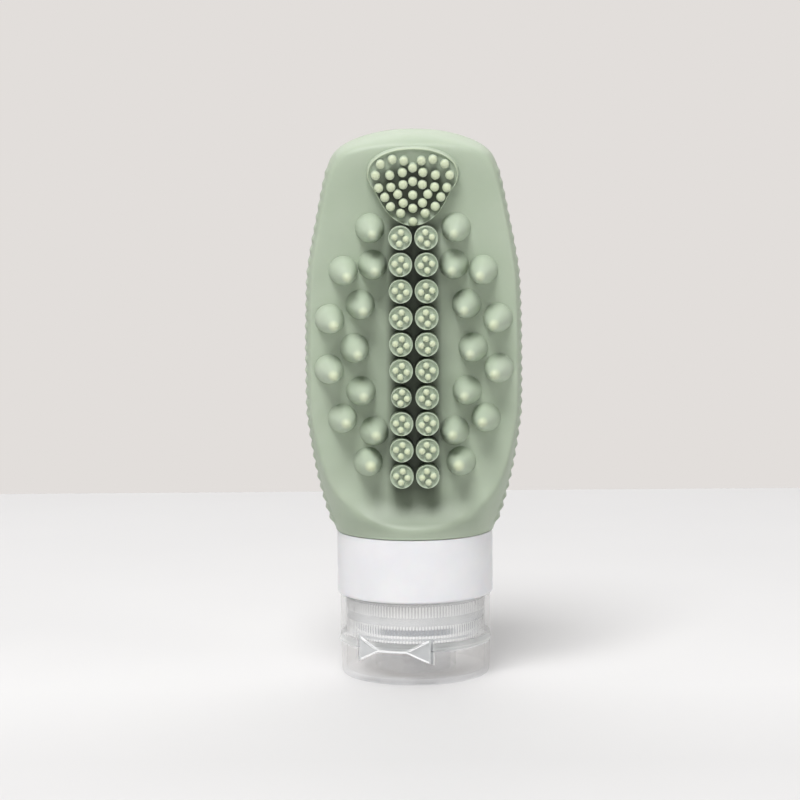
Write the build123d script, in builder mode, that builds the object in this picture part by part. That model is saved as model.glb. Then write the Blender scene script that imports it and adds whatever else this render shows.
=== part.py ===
"""Squeezable silicone travel bottle that stands upside down on its flip-top cap.

The origin is the centre of the lid's flat end face, +Z runs up the bottle and the massage
face looks along -Y. All lengths are in millimetres and all angles in degrees.
"""
import os
from math import copysign, cos, pi, radians, sin

from build123d import *

# Stack of visible heights, from the table up
lid_height = 8.8
seam_gap = 0.3
cap_height = 12.5
collar_gap = 0.3
collar_height = 16.7
body_height = 106.4

# Round parts
cap_radius = 20.0
cap_wall = 1.3
lid_inset = 0.1
lid_taper = 0.2
collar_radius = 20.7
collar_wall = 1.7
collar_rounding = 0.6
overrun = 2.0

# Silicone body
body_width = 57.2
body_front = 21.0
body_back = 20.7
silicone_wall = 1.8
crown_flat = 0.1
section_points = 32

# Massage panel cut into the front, with a scooped lower end
panel_depth = 14.5
scoop_radius = 15.8
scoop_start = 16.4

# Neck insert and its thread
bore_radius = 14.4
neck_wall = 1.6
neck_length = 11.5
sleeve_step = 0.6
sleeve_length = 12.1
insert_flange = 1.5
insert_fit = 0.05
collar_lip = 1.5
collar_fit = 0.1
lip_clearance = 0.2
bead_radius = 0.5
bead_spacing = 4.0
bead_count = 2
bead_start = 4.0
thread_pitch = 3.0
thread_turns = 1.5
thread_height = 0.85
thread_root = 1.2
thread_crest = 0.6
thread_bite = 0.2
thread_clearance = 0.3
thread_lead_in = 1.5

# Cap base
deck_thickness = 1.5
skirt_length = 10.3
skirt_wall = 0.9
skirt_rib_height = 0.3
skirt_rib_root = 0.06
skirt_rib_width = 0.4
skirt_rib_count = 136
rib_tier_height = 3.0
rib_tier_start = 2.4
rib_tier_step = 4.6
rib_tier_count = 2
seam_bead = 0.25
seam_bead_height = 0.8
nozzle_radius = 9.0
nozzle_wall = 1.8
nozzle_height = 2.7
orifice_radius = 6.4
pocket_radius = 8.4
pocket_wall = 1.0
pocket_height = 3.4

# Valve, its retainer and the neck gasket
valve_wall = 0.9
valve_drop = 2.0
valve_flange = 1.2
valve_fit = 0.1
valve_side_gap = 0.4
slit_width = 0.25
slit_length = 7.0
retainer_height = 1.4
retainer_inner = 5.4
gasket_inner = 12.0
gasket_fit = 0.05

# Lid
lid_floor = 1.4
lid_rounding = 1.2
seal_ring_wall = 1.5
seal_ring_clearance = 0.3
seal_ring_lap = 1.4
boss_radius = 3.5
boss_clearance = 0.3
thumb_width = 13.0
thumb_reach = 1.2
thumb_height = 1.6
thumb_recess = 0.7
thumb_scoop_radius = 9.0

# Snap hinge between cap base and lid
hinge_azimuth = -18.6
hinge_apex = 4.15
hinge_outer = 9.85
hinge_half_height = 3.2
hinge_depth = 0.9
strap_thickness = 0.5
strap_sink = 0.15
strap_fit = 0.05
strap_slit = 0.6
film_thickness = 0.4

# Massage nubs on the panel
spike_radius = 3.64
spike_height = 8.6
spike_tip_radius = 1.3
cup_radius = 3.06
cup_height = 7.0
cup_rim = 0.35
cup_dish = 1.2
cup_pitch = 6.87
cup_row_spacing = 6.7
cup_count = 10
cup_first = 16.9
peg_radius = 0.89
peg_circle = 1.47
peg_rise = 0.5
peg_count = 4
peg_turn = 9.0
spike_side = 22.0
spike_span = 61.0
spike_middle = 50.4

# Pad near the crown, with short pegs
pad_width = 23.9
pad_height = 20.5
pad_top = 102.1
pad_thickness = 2.2
pad_floor = 0.8
pad_rim = 0.5
pad_slope = 1.0
pad_peg_radius = 1.2
pad_peg_height = 3.4

# Height above the shoulder, half width, front, back, front squareness, back squareness
body_section_shares = [
    (0.065, 0.822, 0.998, 0.970, 2.1, 2.1),
    (0.164, 0.906, 1.000, 0.912, 3.1, 2.4),
    (0.310, 0.986, 1.000, 0.858, 4.4, 2.7),
    (0.470, 1.000, 1.000, 0.836, 4.6, 2.7),
    (0.640, 0.976, 1.000, 0.826, 4.6, 2.7),
    (0.780, 0.895, 1.000, 0.810, 4.5, 2.7),
    (0.885, 0.806, 0.975, 0.780, 4.2, 2.7),
    (0.935, 0.738, 0.895, 0.724, 3.7, 2.7),
    (0.968, 0.590, 0.690, 0.590, 3.0, 2.5),
    (0.988, 0.380, 0.440, 0.380, 2.6, 2.4),
]
crown_share = 0.245

# Spike centres on one side, across and up from the middle of the field
spike_shares = [
    (0.506, 0.499), (0.478, 0.343), (0.822, 0.319), (0.625, 0.174), (0.990, 0.114),
    (0.697, -0.012), (1.000, -0.101), (0.625, -0.196), (0.846, -0.312), (0.475, -0.368),
    (0.547, -0.499),
]

# Half outline of the pad, across and down from its top
pad_outline_shares = [
    (0.00, 0.000), (0.27, 0.010), (0.54, 0.047), (0.76, 0.107), (0.93, 0.200),
    (0.987, 0.276), (1.000, 0.348), (0.96, 0.442), (0.826, 0.565), (0.683, 0.722),
    (0.54, 0.846), (0.343, 0.940), (0.165, 0.986), (0.00, 1.000),
]
pad_peg_shares = [
    (0.702, 0.223), (0.442, 0.166), (0.193, 0.182), (0.811, 0.363), (0.499, 0.362),
    (0.224, 0.328), (0.000, 0.270), (0.745, 0.520), (0.478, 0.511), (0.210, 0.480),
    (0.000, 0.441), (0.612, 0.638), (0.328, 0.601), (0.000, 0.611), (0.488, 0.756),
    (0.211, 0.711), (0.000, 0.779), (0.267, 0.840), (0.000, 0.947),
]

# Levels and radii that follow from the sizes above
cap_low = lid_height + seam_gap
seam_level = lid_height + seam_gap / 2
deck_top = cap_low + deck_thickness
cap_top = cap_low + cap_height
collar_low = cap_top + collar_gap
collar_top = collar_low + collar_height
body_top = collar_top + body_height
half_width = body_width / 2
cap_inner = cap_radius - cap_wall
lid_radius = cap_radius - lid_inset
lid_inner = lid_radius - cap_wall
collar_inner = collar_radius - collar_wall
neck_radius = bore_radius + neck_wall
neck_outer = neck_radius + thread_height
sleeve_radius = neck_radius + sleeve_step
flange_low = collar_low + collar_lip
flange_top = flange_low + insert_flange
mouth_level = flange_low - neck_length
sleeve_top = flange_top + sleeve_length
skirt_inner = neck_outer + thread_clearance
skirt_outer = skirt_inner + skirt_wall
skirt_crest = skirt_outer + skirt_rib_height
thread_low = mouth_level + thread_lead_in
thread_travel = thread_pitch * thread_turns
gasket_low = deck_top + gasket_fit
gasket_top = mouth_level - gasket_fit
nozzle_low = cap_low - nozzle_height
valve_low = deck_top - valve_drop
panel_face = -panel_depth
panel_low = collar_top + scoop_start
spike_centre = collar_top + spike_middle
cup_low = collar_top + cup_first
pad_high = collar_top + pad_top


def superellipse(width, front, back, front_power, back_power):
    """Closed outline of one body section, rounder or squarer by its two powers."""
    points = []
    for step in range(section_points):
        turn = 2 * pi * step / section_points
        power = back_power if sin(turn) > 0 else front_power
        depth = back if sin(turn) > 0 else front
        across = copysign(abs(cos(turn)) ** (2 / power), cos(turn)) * width
        along = copysign(abs(sin(turn)) ** (2 / power), sin(turn)) * depth
        points.append((across, along))
    return points


def body_loft(inset, start_radius, low, crown_drop):
    """Lofted body form, drawn in by a wall thickness."""
    crown = body_top - crown_drop
    with BuildPart() as form:
        with BuildSketch(Plane.XY.offset(low)):
            with BuildLine():
                outline = superellipse(start_radius, start_radius, start_radius, 2, 2)
                Spline(*outline, periodic=True)
            make_face()
        for height, width, front, back, front_power, back_power in body_section_shares:
            level = low + (crown - low) * height
            with BuildSketch(Plane.XY.offset(level)):
                with BuildLine():
                    outline = superellipse(
                        width * half_width - inset,
                        front * body_front - inset,
                        back * body_back - inset,
                        front_power,
                        back_power,
                    )
                    Spline(*outline, periodic=True)
                make_face()
        with BuildSketch(Plane.XY.offset(crown - crown_flat)):
            with BuildLine():
                outline = superellipse(
                    crown_share * half_width - inset / 2,
                    crown_share * body_front - inset / 2,
                    crown_share * body_back - inset / 2,
                    2,
                    2,
                )
                Spline(*outline, periodic=True)
            make_face()
        loft()
    return form.part


def panel_cutter(inset):
    """Block in front of the panel plane, whose lower end scoops forward."""
    face = panel_face + inset
    reach = body_front + overrun
    drop = (scoop_radius**2 - (scoop_radius - (reach - panel_depth + inset)) ** 2) ** 0.5
    with BuildPart() as cutter:
        with BuildSketch(Plane.YZ):
            with BuildLine():
                Line((face, panel_low), (face, body_top + overrun))
                Line((face, body_top + overrun), (-reach, body_top + overrun))
                Line((-reach, body_top + overrun), (-reach, panel_low - drop))
                RadiusArc((-reach, panel_low - drop), (face, panel_low), -scoop_radius)
            make_face()
        extrude(amount=half_width + overrun, both=True)
    return cutter.part


def helical_ridge(radius, low, inward):
    """One thread ridge of trapezoid section on a cylinder."""
    side = -1 if inward else 1
    path = Pos(0, 0, low) * Helix(thread_pitch, thread_travel, radius)
    frame = Plane(origin=path @ 0, x_dir=Vector((path @ 0).X, (path @ 0).Y, 0), z_dir=path % 0)
    with BuildPart() as ridge:
        with BuildSketch(frame):
            with BuildLine():
                Polyline(
                    (-side * thread_bite, -thread_root / 2),
                    (side * thread_height, -thread_crest / 2),
                    (side * thread_height, thread_crest / 2),
                    (-side * thread_bite, thread_root / 2),
                    close=True,
                )
            make_face()
        sweep(path=path, is_frenet=True)
    return ridge.part


def ring(outer, inner, low, high):
    """Plain ring between two levels."""
    with BuildPart() as band:
        with BuildSketch(Plane.XY.offset(low)):
            Circle(outer)
            Circle(inner, mode=Mode.SUBTRACT)
        extrude(amount=high - low)
    return band.part


# Hinge plane: touches the cap's wall, with its X along the seam and its Z outward
hinge_out = Vector(sin(radians(hinge_azimuth)), -cos(radians(hinge_azimuth)), 0)
hinge_along = Vector(cos(radians(hinge_azimuth)), sin(radians(hinge_azimuth)), 0)
hinge_plane = Plane(
    origin=hinge_out * cap_radius + Vector(0, 0, seam_level), x_dir=hinge_along, z_dir=hinge_out
)


def hinge_wedge(side, grow, slit, inner, outer):
    """Triangle of the snap hinge, cut from a curved shell between two radii."""
    tip = side * (hinge_apex - grow)
    edge = side * (hinge_outer + slit)
    slope = hinge_half_height / (hinge_outer - hinge_apex)
    rise = slope * (abs(edge) - abs(tip))
    with BuildPart() as wedge:
        with BuildSketch(hinge_plane.offset(-cap_radius / 2)):
            with BuildLine():
                Polyline((tip, 0), (edge, rise), (edge, -rise), close=True)
            make_face()
        extrude(amount=cap_radius)
        low = seam_level - rise - overrun
        high = seam_level + rise + overrun
        add(ring(outer, inner, low, high), mode=Mode.INTERSECT)
    return wedge.part


# Bottle body: hollow silicone shell with its neck
cavity = body_loft(
    silicone_wall, sleeve_radius, collar_top + silicone_wall, silicone_wall
) - panel_cutter(silicone_wall)
with BuildPart() as bottle_body:
    add(body_loft(0, collar_radius, collar_top, 0))
    add(panel_cutter(0), mode=Mode.SUBTRACT)
    with BuildSketch(Plane.XY.offset(flange_top)):
        Circle(collar_inner - collar_fit)
    extrude(amount=collar_top - flange_top)
    add(cavity, mode=Mode.SUBTRACT)
    with BuildSketch(Plane.XY.offset(flange_top)):
        Circle(sleeve_radius + insert_fit)
    extrude(amount=collar_top + 2 * silicone_wall - flange_top, mode=Mode.SUBTRACT)
    for number in range(bead_count):
        with BuildSketch(Plane.XZ):
            with Locations((sleeve_radius, flange_top + bead_start + number * bead_spacing)):
                Circle(bead_radius + insert_fit)
        revolve(axis=Axis.Z, mode=Mode.SUBTRACT)
bottle_body.part.label = "bottle_body"


def spike_field(side):
    """Rounded cones on one half of the panel."""
    with BuildPart() as field:
        for across, up in spike_shares:
            foot = Plane(
                origin=(side * across * spike_side, panel_face, spike_centre + up * spike_span),
                x_dir=(1, 0, 0),
                z_dir=(0, -1, 0),
            )
            shoulder = spike_height - spike_tip_radius
            with BuildSketch(Plane(foot.origin, x_dir=(1, 0, 0), z_dir=(0, 0, 1))):
                with BuildLine():
                    Line((0, 0), (spike_radius, 0))
                    Line((spike_radius, 0), (spike_tip_radius, -shoulder))
                    RadiusArc(
                        (spike_tip_radius, -shoulder), (0, -spike_height), spike_tip_radius
                    )
                    Line((0, -spike_height), (0, 0))
                make_face()
            revolve(axis=Axis(foot.origin, (0, 1, 0)))
    return field.part


def cup_column(side):
    """Stubby cups in one column, each with a ring of pegs in its dished end."""
    with BuildPart() as column:
        for number in range(cup_count):
            foot = Plane(
                origin=(side * cup_row_spacing / 2, panel_face, cup_low + number * cup_pitch),
                x_dir=(1, 0, 0),
                z_dir=(0, -1, 0),
            )
            with BuildSketch(foot):
                Circle(cup_radius)
            extrude(amount=cup_height)
            with BuildSketch(foot.offset(cup_height - cup_dish)):
                Circle(cup_radius - cup_rim)
            extrude(amount=cup_dish, mode=Mode.SUBTRACT)
            with BuildSketch(foot.offset(cup_height - cup_dish)):
                with PolarLocations(peg_circle, peg_count, start_angle=side * peg_turn):
                    Circle(peg_radius)
            extrude(amount=cup_dish + peg_rise)
        add(panel_cutter(0), mode=Mode.INTERSECT)
    return column.part


massage_spikes_left = spike_field(-1)
massage_spikes_left.label = "massage_spikes_left"
massage_spikes_right = spike_field(1)
massage_spikes_right.label = "massage_spikes_right"
bristle_cups_left = cup_column(-1)
bristle_cups_left.label = "bristle_cups_left"
bristle_cups_right = cup_column(1)
bristle_cups_right.label = "bristle_cups_right"


def pad_sketch_points(inset):
    """Closed outline of the pad, drawn in from its edge."""
    scale = 1 - 2 * inset / pad_width
    middle = pad_height / 2
    right = []
    for across, down in pad_outline_shares:
        lift = (middle - down * pad_height) * scale
        right.append((across * pad_width / 2 * scale, lift - middle))
    left = [(-x, z) for x, z in right[-2:0:-1]]
    return right + left


# Pad: raised dish with a thin rim and short pegs
pad_plane = Plane(origin=(0, panel_face, pad_high), x_dir=(1, 0, 0), z_dir=(0, -1, 0))
with BuildPart() as heart_pad:
    with BuildSketch(pad_plane):
        with BuildLine():
            Spline(*pad_sketch_points(0), periodic=True)
        make_face()
    extrude(amount=pad_thickness)
    with BuildSketch(pad_plane.offset(pad_floor)):
        with BuildLine():
            Spline(*pad_sketch_points(pad_rim + pad_slope), periodic=True)
        make_face()
    with BuildSketch(pad_plane.offset(pad_thickness)):
        with BuildLine():
            Spline(*pad_sketch_points(pad_rim), periodic=True)
        make_face()
    loft(mode=Mode.SUBTRACT)
    with BuildSketch(pad_plane.offset(pad_floor)):
        for across, down in pad_peg_shares:
            for side in (-1, 1) if across else (1,):
                with Locations((side * across * pad_width / 2, -down * pad_height)):
                    Circle(pad_peg_radius)
    extrude(amount=pad_peg_height - pad_floor)
heart_pad.part.label = "heart_pad"

# Neck insert: rigid tube with a flange, a sleeve in the silicone and an outer thread
with BuildPart() as neck_insert:
    add(ring(neck_radius, bore_radius, mouth_level, flange_top))
    add(ring(collar_inner - collar_fit, bore_radius, flange_low, flange_top))
    add(ring(sleeve_radius, bore_radius, flange_top, sleeve_top))
    for number in range(bead_count):
        with BuildSketch(Plane.XZ):
            with Locations((sleeve_radius, flange_top + bead_start + number * bead_spacing)):
                Circle(bead_radius)
        revolve(axis=Axis.Z)
    add(helical_ridge(neck_radius, thread_low, False))
neck_insert.part.label = "neck_insert"

# Collar: white ring that clamps the silicone neck against the insert
with BuildPart() as collar:
    add(ring(collar_radius, collar_inner, collar_low, collar_top))
    add(ring(collar_radius, neck_outer + lip_clearance, collar_low, flange_low))
    outer_edges = collar.edges().filter_by(GeomType.CIRCLE).group_by(SortBy.RADIUS)[-1]
    fillet(outer_edges.sort_by(Axis.Z)[0], collar_rounding)
collar.part.label = "collar"

def ribbed_tier(low):
    """Stretch of the inner skirt with fine upright ribs around it."""
    points = []
    root = skirt_outer + skirt_rib_root
    for number in range(skirt_rib_count):
        middle = 2 * pi * number / skirt_rib_count
        half = skirt_rib_width / 2 / skirt_outer
        for radius, turn in (
            (root, middle - half),
            (skirt_crest, middle - half),
            (skirt_crest, middle + half),
            (root, middle + half),
        ):
            points.append((radius * cos(turn), radius * sin(turn)))
    with BuildPart() as tier:
        with BuildSketch(Plane.XY.offset(low)):
            with BuildLine():
                Polyline(*points, close=True)
            make_face()
            Circle(skirt_outer, mode=Mode.SUBTRACT)
        extrude(amount=rib_tier_height)
    return tier.part


# Threaded inner skirt of the cap, ribbed outside in two tiers
with BuildPart() as skirt:
    add(ring(skirt_outer, skirt_inner, deck_top, deck_top + skirt_length))
    add(helical_ridge(skirt_inner, thread_low + thread_pitch / 2, True))
    for number in range(rib_tier_count):
        add(ribbed_tier(deck_top + rib_tier_start + number * rib_tier_step))

# Cap base: outer shell, deck with nozzle and valve pocket, threaded inner skirt
with BuildPart() as cap_base:
    add(ring(cap_radius, cap_inner, cap_low, cap_top))
    add(ring(cap_radius + seam_bead, cap_inner, cap_low, cap_low + seam_bead_height))
    add(ring(cap_radius, orifice_radius, cap_low, deck_top))
    add(ring(nozzle_radius, nozzle_radius - nozzle_wall, nozzle_low, cap_low))
    add(ring(pocket_radius + pocket_wall, pocket_radius, deck_top, deck_top + pocket_height))
    for side in (-1, 1):
        pocket = hinge_wedge(
            side, strap_fit, strap_slit, cap_radius - hinge_depth, cap_radius + overrun
        )
        add(pocket, mode=Mode.SUBTRACT)
    with BuildSketch(hinge_plane):
        Rectangle(2 * hinge_outer, 2 * hinge_half_height)
    extrude(amount=overrun, mode=Mode.SUBTRACT)
    scoop_plane = Plane(
        origin=-hinge_out * (cap_radius - thumb_recess) + Vector(0, 0, cap_low - overrun),
        x_dir=hinge_along,
        z_dir=(0, 0, 1),
    )
    with BuildSketch(scoop_plane):
        with Locations((0, thumb_scoop_radius)):
            Circle(thumb_scoop_radius)
    extrude(amount=overrun + thumb_height, mode=Mode.SUBTRACT)
    add(skirt.part)
cap_base.part.label = "cap_base"

# Lid: shallow cup with a seal ring, a boss that presses the valve shut and a thumb lip
with BuildPart() as lid:
    with BuildSketch(Plane.XZ):
        with BuildLine():
            Polyline(
                (0, 0),
                (lid_radius - lid_taper, 0),
                (lid_radius, lid_height),
                (lid_inner, lid_height),
                (lid_inner - lid_taper, lid_floor),
                (0, lid_floor),
                close=True,
            )
        make_face()
    revolve(axis=Axis.Z)
    outer_edges = lid.edges().filter_by(GeomType.CIRCLE).group_by(Axis.Z)[0]
    fillet(outer_edges, lid_rounding)
    seal_inner = nozzle_radius + seal_ring_clearance
    seal_top = nozzle_low + seal_ring_lap
    add(ring(seal_inner + seal_ring_wall, seal_inner, lid_floor, seal_top))
    with BuildSketch(Plane.XY.offset(lid_floor)):
        Circle(boss_radius)
    extrude(amount=valve_low - boss_clearance - lid_floor)
    for side in (-1, 1):
        pocket = hinge_wedge(
            side, strap_fit, strap_slit, cap_radius - hinge_depth, cap_radius + overrun
        )
        add(pocket, mode=Mode.SUBTRACT)
    lip_plane = Plane(
        origin=-hinge_out * lid_radius + Vector(0, 0, lid_height - thumb_height),
        x_dir=hinge_along,
        z_dir=(0, 0, 1),
    )
    with BuildSketch(lip_plane) as lip:
        with BuildLine():
            lip_foot = thumb_width / 2
            ThreePointArc((-lip_foot, -thumb_reach), (0, thumb_reach), (lip_foot, -thumb_reach))
            Line((lip_foot, -thumb_reach), (-lip_foot, -thumb_reach))
        make_face()
    extrude(amount=thumb_height)
lid.part.label = "lid"

# Snap hinge: two triangular straps and the film between them
with BuildPart() as hinge_film:
    add(ring(cap_radius - lid_inset, cap_radius - lid_inset - film_thickness, lid_height, cap_low))
    with BuildSketch(hinge_plane.offset(-cap_radius / 2)):
        Rectangle(2 * (hinge_apex - strap_fit), 2 * hinge_half_height)
    extrude(amount=cap_radius, mode=Mode.INTERSECT)
hinge_film.part.label = "hinge_film"


def hinge_strap(side):
    """Strap that lies in the wedge-shaped pockets of cap base and lid."""
    outer = cap_radius - strap_sink
    return hinge_wedge(side, 0, 0, outer - strap_thickness, outer)


hinge_strap_left = hinge_strap(-1)
hinge_strap_left.label = "hinge_strap_left"
hinge_strap_right = hinge_strap(1)
hinge_strap_right.label = "hinge_strap_right"

# Slit valve: flanged silicone cup whose membrane hangs in the deck's orifice
with BuildPart() as drip_valve:
    cup_outer = orifice_radius - valve_side_gap
    add(ring(pocket_radius - valve_fit, cup_outer - valve_wall, deck_top, deck_top + valve_flange))
    add(ring(cup_outer, cup_outer - valve_wall, valve_low, deck_top))
    with BuildSketch(Plane.XY.offset(valve_low)):
        Circle(cup_outer)
    extrude(amount=valve_wall)
    with BuildSketch(Plane.XY.offset(valve_low)):
        Rectangle(slit_length, slit_width)
        Rectangle(slit_width, slit_length)
    extrude(amount=valve_wall, mode=Mode.SUBTRACT)
drip_valve.part.label = "drip_valve"

# Valve retainer: snap ring that holds the valve's flange on the deck
with BuildPart() as valve_retainer:
    retainer_low = deck_top + valve_flange
    add(ring(pocket_radius - insert_fit, retainer_inner, retainer_low, retainer_low + retainer_height))
valve_retainer.part.label = "valve_retainer"

# Gasket between the cap's deck and the mouth of the neck
with BuildPart() as neck_gasket:
    add(ring(neck_outer, gasket_inner, gasket_low, gasket_top))
neck_gasket.part.label = "neck_gasket"

pieces = [
    bottle_body.part,
    massage_spikes_left,
    massage_spikes_right,
    bristle_cups_left,
    bristle_cups_right,
    heart_pad.part,
    neck_insert.part,
    collar.part,
    cap_base.part,
    lid.part,
    hinge_film.part,
    hinge_strap_left,
    hinge_strap_right,
    drip_valve.part,
    valve_retainer.part,
    neck_gasket.part,
]

os.makedirs("parts", exist_ok=True)
for piece in pieces:
    export_step(piece, f"parts/{piece.label}.step")
    print(piece.label, round(piece.volume, 2))
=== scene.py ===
# %% [markdown]
# # A travel bottle of soft silicone
# The bottle stands upside down on its flip-top cap. Its body is one silicone moulding with a
# massage face: cone nubs, two rows of cups and a pad of pegs. A white collar clamps
# the soft neck, and a cloudy cap with a snap hinge closes it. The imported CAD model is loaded
# first, because every piece sits in its frame.

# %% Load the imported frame
from math import cos, pi, radians, sin, sqrt

import bpy
import numpy as np
from mathutils import Matrix, Vector


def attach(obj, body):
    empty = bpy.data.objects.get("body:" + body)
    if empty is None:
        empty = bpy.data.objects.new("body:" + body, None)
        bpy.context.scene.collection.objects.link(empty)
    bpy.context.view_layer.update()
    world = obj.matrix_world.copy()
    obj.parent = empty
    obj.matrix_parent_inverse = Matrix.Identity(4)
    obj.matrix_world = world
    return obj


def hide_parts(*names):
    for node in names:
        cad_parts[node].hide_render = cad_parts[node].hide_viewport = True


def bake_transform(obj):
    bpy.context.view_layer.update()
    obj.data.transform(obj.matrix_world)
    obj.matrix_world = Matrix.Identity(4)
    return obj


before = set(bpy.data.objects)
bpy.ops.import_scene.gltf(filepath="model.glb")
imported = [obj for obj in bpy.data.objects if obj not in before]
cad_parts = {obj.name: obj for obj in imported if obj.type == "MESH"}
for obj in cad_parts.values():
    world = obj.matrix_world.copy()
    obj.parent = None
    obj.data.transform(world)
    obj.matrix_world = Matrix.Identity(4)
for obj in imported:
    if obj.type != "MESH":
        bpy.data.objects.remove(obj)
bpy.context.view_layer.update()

MM = 0.001

# %% [markdown]
# ## The camera
# The photograph was taken from about 0.75 m with a long lens, a little above the bottle.
# Lens, pitch and a slight roll come from the bottle's edges in the picture: the collar's
# two rings show how far above them the camera was.

# %% Set up the camera
camera_place = Vector((-0.0037, -0.75, 0.159))
camera_pitch = radians(6.53)
camera_roll = radians(-0.45)
bpy.ops.object.camera_add(location=camera_place)
camera = bpy.context.object
camera.data.lens = 127.9
camera.data.sensor_width = 36
camera.data.clip_start = 0.01
camera.matrix_world = (
    Matrix.Translation(camera_place)
    @ Matrix.Rotation(pi / 2 - camera_pitch, 4, "X")
    @ Matrix.Rotation(camera_roll, 4, "Z")
)
bpy.context.scene.camera = camera
bpy.context.scene.view_settings.view_transform = "Standard"
print("camera at", tuple(round(v, 4) for v in camera_place))

# %% [markdown]
# ## Helpers for finishes
# Every finish is a Principled shader with noise on it, because no moulded surface is quite
# even. Colours are written as they look on screen, and turned into Blender's linear values.
# Patterns read Object coordinates, so they stay fixed on each piece.

# %% Colours and shader nodes


def screen_colour(red, green, blue):
    """Linear colour of an on-screen colour of 0 to 255."""
    shares = [channel / 255 for channel in (red, green, blue)]
    linear = [s / 12.92 if s <= 0.04045 else ((s + 0.055) / 1.055) ** 2.4 for s in shares]
    return (*linear, 1)


def feed(made, inputs):
    """Links a node's inputs to other nodes' outputs, or sets them to values."""
    for socket, value in inputs.items():
        if isinstance(value, bpy.types.NodeSocket):
            made.id_data.links.new(value, made.inputs[socket])
        else:
            made.inputs[socket].default_value = value


def node_adder(tree):
    """Function that adds a shader node, with its inputs and settings, to a tree."""

    def node(kind, inputs=(), **settings):
        made = tree.nodes.new("ShaderNode" + kind)
        for key, value in settings.items():
            setattr(made, key, value)
        feed(made, dict(inputs))
        return made

    return node


def new_finish(name):
    """Empty material with its Principled shader, and a function that adds nodes to it."""
    finish = bpy.data.materials.new(name)
    finish.use_nodes = True
    tree = finish.node_tree
    return finish, tree.nodes["Principled BSDF"], node_adder(tree)


def object_place(node):
    """Object coordinates as one vector, and as the distance across, Y and Z."""
    place = node("TexCoord").outputs["Object"]
    parts = node("SeparateXYZ", {"Vector": place}).outputs
    across = node("Math", {0: parts["X"]}, operation="ABSOLUTE").outputs[0]
    return place, across, parts["Y"], parts["Z"]


def noise_on(node, place, scale, detail):
    """Noise with features of about 1 / scale metres."""
    return node("TexNoise", {"Vector": place, "Scale": scale, "Detail": detail}).outputs["Fac"]


def ramp_of(node, source, low, high, low_value, high_value):
    """Maps a value between two limits to another range, without overshoot."""
    limits = {"From Min": low, "From Max": high, "To Min": low_value, "To Max": high_value}
    return node("MapRange", {"Value": source, **limits}).outputs["Result"]


def product_of(node, share, *others):
    """Multiplies shares with each other."""
    for other in others:
        share = node("Math", {0: share, 1: other}, operation="MULTIPLY").outputs[0]
    return share


def blend_colours(node, factor, first, second):
    """Mixes two colours, each a colour or another node's output."""
    return node("Mix", {0: factor, 6: first, 7: second}, data_type="RGBA").outputs[2]


def mottled(node, place, scale, detail, first, second):
    """Uneven blend of two colours."""
    return blend_colours(
        node, ramp_of(node, noise_on(node, place, scale, detail), 0.35, 0.65, 0, 1), first, second
    )


def relief_of(node, pattern, depth):
    """Fine relief from a pattern, depth in metres."""
    return node("Bump", {"Height": pattern, "Distance": depth, "Strength": 1}).outputs["Normal"]


print("finish helpers ready")

# %% [markdown]
# ## The silicone's finish
# Such silicone is matte, and light bleeds a little way under its surface, so thin tips
# look paler. Subsurface scattering gives the bleed. Ramps along Y, outwards from the massage
# face, paint the pale tips as painted light and the deep green of the narrow gaps as painted
# shade. Noise mottles the colour, and a finer one roughens the surface.

# %% Make the silicone finish
# One silicone in two greens: nubs, cups and pad are painted lighter, as painted light, and the body
# and pad rim darker, as painted shade.
shaded_body_greens = screen_colour(173, 185, 165), screen_colour(168, 181, 160)
lit_nub_greens = screen_colour(183, 195, 175), screen_colour(178, 191, 170)
# Painted light on thin tips, and painted shade in narrow gaps and recesses.
painted_tip_light = screen_colour(212, 219, 184)
painted_recess_shade = screen_colour(66, 76, 58)
# Painted shadows: share of the painted recess shade, and where it fades across, starts and
# ends along Z, in metres: first between the cups, then in the scoop below them. Both end
# behind the face.
body_shadows = (
    (0.8, (0.0048, 0.0074), (0.0435, 0.0515), (0.119, 0.122)),
    (0.35, (0.01, 0.019), (0.04, 0.043), (0.049, 0.056)),
)
behind_face = (-0.0115, -0.0095)


def silicone_finish(name, greens, recess=None, tips=None, hollow=None, shadows=()):
    """Matte sage silicone; recess and tips are (from Y, to Y, share) in metres.

    Recess paints shade and tips paint light. A hollow is (Z of its middle, half width,
    half height), outside which the painted shade is paler.
    """
    finish, shader, node = new_finish(name)
    place, across, inwards, height = object_place(node)
    colour = mottled(node, place, 90, 4, *greens)
    if recess:
        share = ramp_of(node, inwards, *recess[:2], 0, recess[2])
        if hollow:
            level, half_width, half_height = hollow
            shift, scale = (0, 0, -level / half_height), (1 / half_width, 0, 1 / half_height)
            middle = node("Mapping", {"Vector": place, "Location": shift, "Scale": scale})
            away = node("VectorMath", {0: middle.outputs["Vector"]}, operation="LENGTH")
            share = product_of(node, share, ramp_of(node, away.outputs["Value"], 0.85, 1.25, 1, 0.22))
        colour = blend_colours(node, share, colour, painted_recess_shade)
    if tips:
        share = ramp_of(node, inwards, *tips[:2], 0, tips[2])
        colour = blend_colours(node, share, colour, painted_tip_light)
    for share, sides, foot, top in shadows:
        share = product_of(
            node,
            ramp_of(node, across, *sides, share, 0),
            ramp_of(node, height, *foot, 0, 1),
            ramp_of(node, height, *top, 1, 0),
            ramp_of(node, inwards, *behind_face, 1, 0),
        )
        colour = blend_colours(node, share, colour, painted_recess_shade)
    grain = noise_on(node, place, 4500, 2)
    feed(shader, {
        "Base Color": colour,
        "Roughness": ramp_of(node, grain, 0.3, 0.7, 0.38, 0.48),
        "Normal": relief_of(node, grain, 0.00002),
        "Subsurface Weight": 0.15,
        "Subsurface Radius": (1, 1, 0.7),
        "Subsurface Scale": 0.0008,
        "IOR": 1.42,
    })
    return finish


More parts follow.
